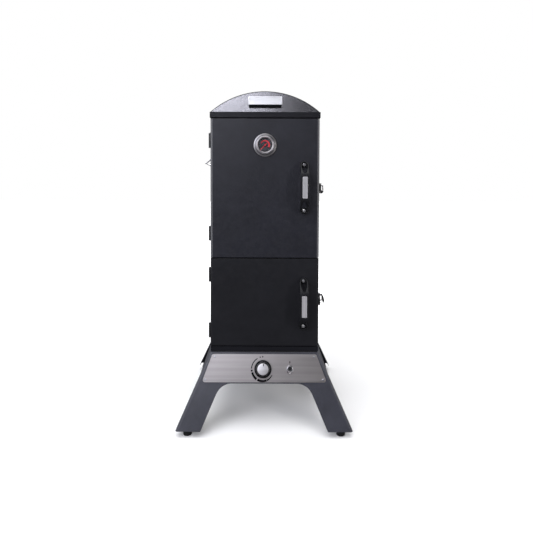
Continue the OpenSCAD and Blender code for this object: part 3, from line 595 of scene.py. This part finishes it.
def knob():
    """Gas knob: dished skirt, fluted grip and a rounded rim round the brushed insert."""
    low = KNOB_AXIS_POINT + PANEL_OUT * KNOB_SEAT
    profile = [(4.1, 20), (4.1, 0.2), (12, 0), (29.6, 0), (30.7, 0.6), (31, 1.8), (30.4, 3.6), (28.6, 5.4),
               (26.6, 6.6), (25.2, 8.2), (24.4, 11), (23.9, 16), (23.5, 21), (23.1, 23.6), (22.4, 25.2),
               (21.4, 25.9), (20.3, 25.6), (20.05, 25.0), (18, 24.9), (0, 24.9)]
    grip = range(9, 14)   # the profile's points that carry the flutes
    flutes, flute_depth = 24, 0.018

    def wobble(k, a):
        return 1 - (flute_depth * max(0, math.cos(flutes * a)) if k in grip else 0)
    bm = revolve([(r * MM, h * MM) for r, h in profile], 192, wobble)
    obj = make("knob_shell", placed(bm, frame_at(low, PANEL_OUT)), "knob", "gas_knob")
    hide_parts("knob")
    disc = [(0, 25.2), (19.6, 25.2), (19.9, 25.5), (19.9, 26.2), (19.3, 26.8), (17.5, 27.0), (0, 27.2)]
    insert = revolve([(r * MM, h * MM) for r, h in disc], 96)
    obj = make("knob_cap", placed(insert, frame_at(low, PANEL_OUT)), "stainless_x", "gas_knob")
    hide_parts("knob_insert")
    tick = [(-1.5, 10.5), (1.5, 10.5), (1.5, 18.4), (-1.5, 18.4)]
    place = frame_at(low, PANEL_OUT) @ Matrix.Rotation(math.radians(-9), 4, "Z")
    bm = plate([(x * MM, y * MM) for x, y in tick], 26.8 * MM, 27.3 * MM)
    make("knob_pointer", placed(bm, place), "print", "gas_knob")


def panel_icon():
    """Collar round the igniter and a small spark mark above it."""
    anchor = Vector(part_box("igniter_button")[0]).lerp(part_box("igniter_button")[1], 0.5)
    along = PANEL_OUT.cross(Vector((1, 0, 0))).normalized()
    if along.z < 0:
        along = -along
    offset = (anchor - KNOB_AXIS_POINT).dot(PANEL_OUT)
    centre = anchor - PANEL_OUT * (offset - PANEL_FACE) + along * 21 * MM
    bolt = [(0.6, 4.2), (-2.2, -0.4), (-0.3, -0.4), (-1.0, -4.2), (2.4, 1.0), (0.4, 1.0), (1.6, 4.2)]
    outline = [(x * 1.35 * MM, y * 1.35 * MM) for x, y in bolt]
    rim = [(9.2, 0), (12.4, 0), (12.9, 0.8), (12.6, 2.4), (11.6, 3.6), (10.4, 3.9), (9.4, 3.2)]
    seat = frame_at(centre - along * 24.2 * MM, PANEL_OUT)
    collar = hoop([(r * MM, h * MM) for r, h in rim], 64, 1.24)
    make("igniter_collar", placed(collar, seat), "bail", "cabinet")
    make("igniter_mark", placed(plate(outline, PRINT_LOW, PRINT_HIGH), frame_at(centre, PANEL_OUT)), "print",
         "cabinet")


def soften(name):
    """Rounds every edge of a moulded CAD node with a fine remesh and a few smoothing passes."""
    obj = NODES[name]
    remesh = obj.modifiers.new("soft_edges", "REMESH")
    remesh.mode = "VOXEL"
    remesh.voxel_size = 1.2 * MM
    remesh.use_smooth_shade = True
    smooth = obj.modifiers.new("ease", "SMOOTH")
    smooth.factor = 0.5
    smooth.iterations = 3


def ease_edges(name, width):
    """Small bend radius on the folded edges of a CAD node."""
    bend = NODES[name].modifiers.new("bend_radius", "BEVEL")
    bend.width = width
    bend.segments = 3
    bend.limit_method = "ANGLE"
    bend.angle_limit = math.radians(40)
    bend.harden_normals = True


def badge_backing():
    """Black tray behind the badge plate; its lower edge shows as a dark strip."""
    low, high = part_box("badge")
    drop, inset, back = 9.5 * MM, 2 * MM, 0.4 * MM
    wide, tall = high.x - low.x - 2 * inset, 24 * MM
    corner = 3 * MM
    outline = []
    for k, (sx, sy) in enumerate(((1, 1), (-1, 1), (-1, -1), (1, -1))):
        cx, cy = sx * (wide / 2 - corner), sy * (tall / 2 - corner)
        for i in range(7):
            a = math.radians(90 * k + 15 * i)
            outline.append((cx + corner * math.cos(a), cy + corner * math.sin(a)))
    centre = Vector(((low.x + high.x) / 2, high.y - back, low.z - drop + tall / 2))
    thick = (high.y - low.y) * 0.55
    make("badge_backing", placed(plate(outline, 0, thick), frame_at(centre, DOOR_OUT)), "print", "cabinet")


def latch_details():
    """Thick plated bail over each lever and a black finger grip. Offsets are from the latch's pin, in mm."""
    bail = [(0, -9.5), (12, -9.5), (12, 9.5), (0, 9.5)]
    grips = {"upper": [(1, -19.5), (7, -20), (12, -17.5), (14.5, -13), (14.2, -10.5), (8, -12.2),
                       (1, -12.6)],
             "lower": [(9.5, 15), (13, 12), (17.5, 4), (20, -4), (20.8, -12), (19, -18.5), (15.5, -20),
                       (15.2, -12), (13.4, -4), (10.5, 4), (8, 10)]}
    for which, shape in grips.items():
        body = f"{which}_latch"
        pin = Vector(JOINTS[f"{which}_latch_swing"]["pos_m"])
        points = [pin + Vector((a, 9, b)) * MM for a, b in bail]
        make(f"{which}_latch_bail", tube(points, 2.4 * MM, 2 * MM), "bail", body)
        bm = plate([(a * MM, b * MM) for a, b in shape], -7 * MM, 7 * MM)
        bmesh.ops.bevel(bm, geom=bm.edges[:], offset=0.9 * MM, segments=2, profile=0.5, affect="EDGES")
        place = frame_at(pin + Vector((0, 13 * MM, 0)), DOOR_OUT)
        make(f"{which}_latch_grip", placed(bm, place), "resin", body)


def damper_loop():
    """Wire finger loop on the damper disc, beside its flared tab."""
    pin = Vector(JOINTS["exhaust_damper_turn"]["pos_m"])
    corners = [(0.3, -8, 31), (-23.5, -8, 3), (0.3, -8, -9)]
    wire = tube([pin + Vector(c) * MM for c in corners], 1.1 * MM, 2.5 * MM, 12)
    make("damper_loop", wire, "screw", "exhaust_damper")


def gap_shade_strip():
    """Black strip in the felt material that closes the gap between the cabinet's sill and the leg panel; its
    black is painted shade for the gap.
    """
    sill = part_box("front_rails")
    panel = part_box("front_leg_panel")
    half = (sill[1].x - sill[0].x) / 2 - 9 * MM
    profile = [(-3, -2.6), (2.4, -2.6), (3, -1.4), (3, 4.2), (2.4, 5), (-2.4, 5), (-3, 4.2)]
    bm = plate([(a * MM, b * MM) for a, b in profile], -half, half)
    across = frame_at(Vector((0, sill[0].y + 9 * MM, panel[1].z)), Vector((1, 0, 0)))
    make("sill_shade_strip", placed(bm, across), "felt", "cabinet")


def screw_head(radius, tall):
    """Domed head, from its seat up."""
    profile = [(0, 0), (radius, 0), (radius, tall * 0.35), (radius * 0.86, tall * 0.72),
               (radius * 0.6, tall * 0.94), (radius * 0.3, tall), (0, tall)]
    return revolve(profile, 32)


def screw_recess_shade(radius, tall):
    """Dark cross of painted shade that stands for the shaded driver recess in a domed head."""
    cross = ((0.2, 1), (-0.2, 1), (-0.2, 0.2), (-1, 0.2), (-1, -0.2), (-0.2, -0.2), (-0.2, -1), (0.2, -1),
             (0.2, -0.2), (1, -0.2), (1, 0.2), (0.2, 0.2))
    outline = [(a * radius * 0.55, b * radius * 0.55) for a, b in cross]
    return plate(outline, tall * 0.5, tall * 1.02)


def back_screws():
    """Two rows of cross-recess screws that hold the back panel to the sides."""
    low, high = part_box("back_panel")
    inset, radius, tall = 14 * MM, 4 * MM, 2.2 * MM
    places = [frame_at(Vector((x, high.y, low.z + (high.z - low.z) * k / 5)), Vector((0, 1, 0)))
              for x in (low.x + inset, high.x - inset) for k in (0.05, 1.25, 2.5, 3.75, 4.95)]
    heads = [placed(screw_head(radius, tall), place) for place in places]
    recess_shades = [placed(screw_recess_shade(radius, tall), place) for place in places]
    make("back_screws", join(heads), "screw", "cabinet")
    # the black crosses are painted shade for the recesses, in the print paint
    make("back_screws_recess_shade", join(recess_shades), "print", "cabinet")


# ---------- stage ----------

def floor_material():
    """White where it is seen, and a darker grey in what it throws back onto the object."""
    s = Shader("pale_floor", (0.86, 0.86, 0.86), 0.7, spec=0.1)
    new = s.tree.nodes.new
    white = new("ShaderNodeBsdfDiffuse")
    white.inputs["Color"].default_value = (0.98, 0.98, 0.985, 1)
    glow = new("ShaderNodeEmission")
    seen = new("ShaderNodeAddShader")
    s.link(white.outputs[0], seen.inputs[0])
    s.link(glow.outputs[0], seen.inputs[1])
    far = new("ShaderNodeVectorMath")
    far.operation = "LENGTH"
    s.link(s.coords, far.inputs[0])
    s.link(s.spread(far.outputs["Value"], 0.03, 0.75, 0.6, 2.2), glow.inputs["Strength"])
    grey = new("ShaderNodeBsdfDiffuse")
    grey.inputs["Color"].default_value = (0.16, 0.16, 0.165, 1)
    path = new("ShaderNodeLightPath")
    mix = new("ShaderNodeMixShader")
    s.link(path.outputs["Is Camera Ray"], mix.inputs[0])
    s.link(grey.outputs[0], mix.inputs[1])
    s.link(seen.outputs[0], mix.inputs[2])
    s.link(mix.outputs[0], s.tree.nodes["Material Output"].inputs["Surface"])
    return s.mat


def stage():
    """Plain floor, wide enough to run past every view."""
    bm = bmesh.new()
    size = 30
    corners = [(-size, -size), (size, -size), (size, size), (-size, size)]
    bm.faces.new([bm.verts.new((x, y, 0)) for x, y in corners])
    mesh = bpy.data.meshes.new("floor")
    bm.to_mesh(mesh)
    bm.free()
    floor = add_object("floor", mesh)
    mesh.materials.append(floor_material())


def world():
    """Even grey studio light, with the visible background white."""
    w = bpy.data.worlds.new("studio")
    w.use_nodes = True
    tree = w.node_tree
    tree.nodes.clear()
    out = tree.nodes.new("ShaderNodeOutputWorld")
    mix = tree.nodes.new("ShaderNodeMixShader")
    light = tree.nodes.new("ShaderNodeBackground")
    light.inputs["Color"].default_value = (0.93, 0.95, 1.0, 1)
    light.inputs["Strength"].default_value = 0.10
    shown = tree.nodes.new("ShaderNodeBackground")
    shown.inputs["Color"].default_value = (1, 1, 1, 1)
    shown.inputs["Strength"].default_value = 1.0
    path = tree.nodes.new("ShaderNodeLightPath")
    tree.links.new(path.outputs["Is Camera Ray"], mix.inputs[0])
    tree.links.new(light.outputs[0], mix.inputs[1])
    tree.links.new(shown.outputs[0], mix.inputs[2])
    tree.links.new(mix.outputs[0], out.inputs[0])
    bpy.context.scene.world = w


def softbox(name, place, target, width, height, power, colour):
    """Rectangular light at place, facing target."""
    data = bpy.data.lights.new(name, "AREA")
    data.shape = "RECTANGLE"
    data.size, data.size_y = width, height
    data.energy = power
    data.color = colour
    obj = add_object(name, data)
    obj.location = place
    obj.rotation_mode = "QUATERNION"
    obj.rotation_quaternion = (Vector(target) - Vector(place)).to_track_quat("-Z", "Y")


def sun(name, direction, strength, spread):
    """Very soft overhead light; spread is its angle in degrees."""
    data = bpy.data.lights.new(name, "SUN")
    data.energy = strength
    data.angle = math.radians(spread)
    obj = add_object(name, data)
    obj.rotation_mode = "QUATERNION"
    obj.rotation_quaternion = Vector(direction).to_track_quat("-Z", "Y")


# name, place, target, width, height, power, colour
SOFTBOXES = [
    ("key_left", (-2.40, -3.3, 2.40), (-0.2, 0, 1.0), 3.3, 2.3, 77, (0.88, 0.90, 1.0)),
    ("roof_card", (-0.50, -3.35, 1.98), (-0.1, 0, 1.15), 1.10, 0.62, 8.8, (0.92, 0.93, 1.0)),
    ("rim_right", (2.2, -2.3, 1.15), (0, 0, 0.75), 0.4, 2.3, 22, (1.0, 0.97, 0.96)),
    ("rim_left", (-2.2, -2.3, 1.15), (0, 0, 0.75), 0.4, 2.3, 14, (0.96, 0.97, 1.0)),
    ("side_right", (3.0, 0.4, 1.5), (0, 0, 0.8), 1.2, 1.6, 22, (1.0, 0.98, 0.96)),
    ("side_left", (-3.0, 0.6, 1.5), (0, 0, 0.8), 1.2, 1.6, 18, (0.96, 0.97, 1.0)),
    ("back_fill", (0.9, 3.4, 1.9), (0, 0, 0.8), 2.4, 1.6, 25, (0.95, 0.96, 1.0)),
]


def lights():
    sun("overhead", (0.10, 0.16, -1), 2.3, 60)
    for row in SOFTBOXES:
        softbox(*row)


CAMERA_AT = (0, -1.690, 0.860)
CAMERA_DOWN, CAMERA_ROLL = math.radians(1.7), math.radians(0.2)


def camera():
    """The photograph's viewing angle."""
    data = bpy.data.cameras.new("camera")
    data.sensor_width = 36
    data.lens = 27.8
    data.shift_x = 0.003
    data.shift_y = -0.120
    data.clip_start = 0.01
    obj = add_object("camera", data)
    obj.location = CAMERA_AT
    obj.rotation_euler = (math.radians(90) - CAMERA_DOWN, -CAMERA_ROLL, 0)
    bpy.context.scene.camera = obj


camera()
paint_nodes()
dial_marks()
knob()
knob_print()
panel_icon()
soften("upper_handle")
soften("lower_handle")
ease_edges("top_cap", 2.4 * MM)
badge_backing()
latch_details()
thermometer_ring()
damper_loop()
gap_shade_strip()
back_screws()
stage()
world()
lights()
bpy.context.scene.view_settings.view_transform = "Standard"
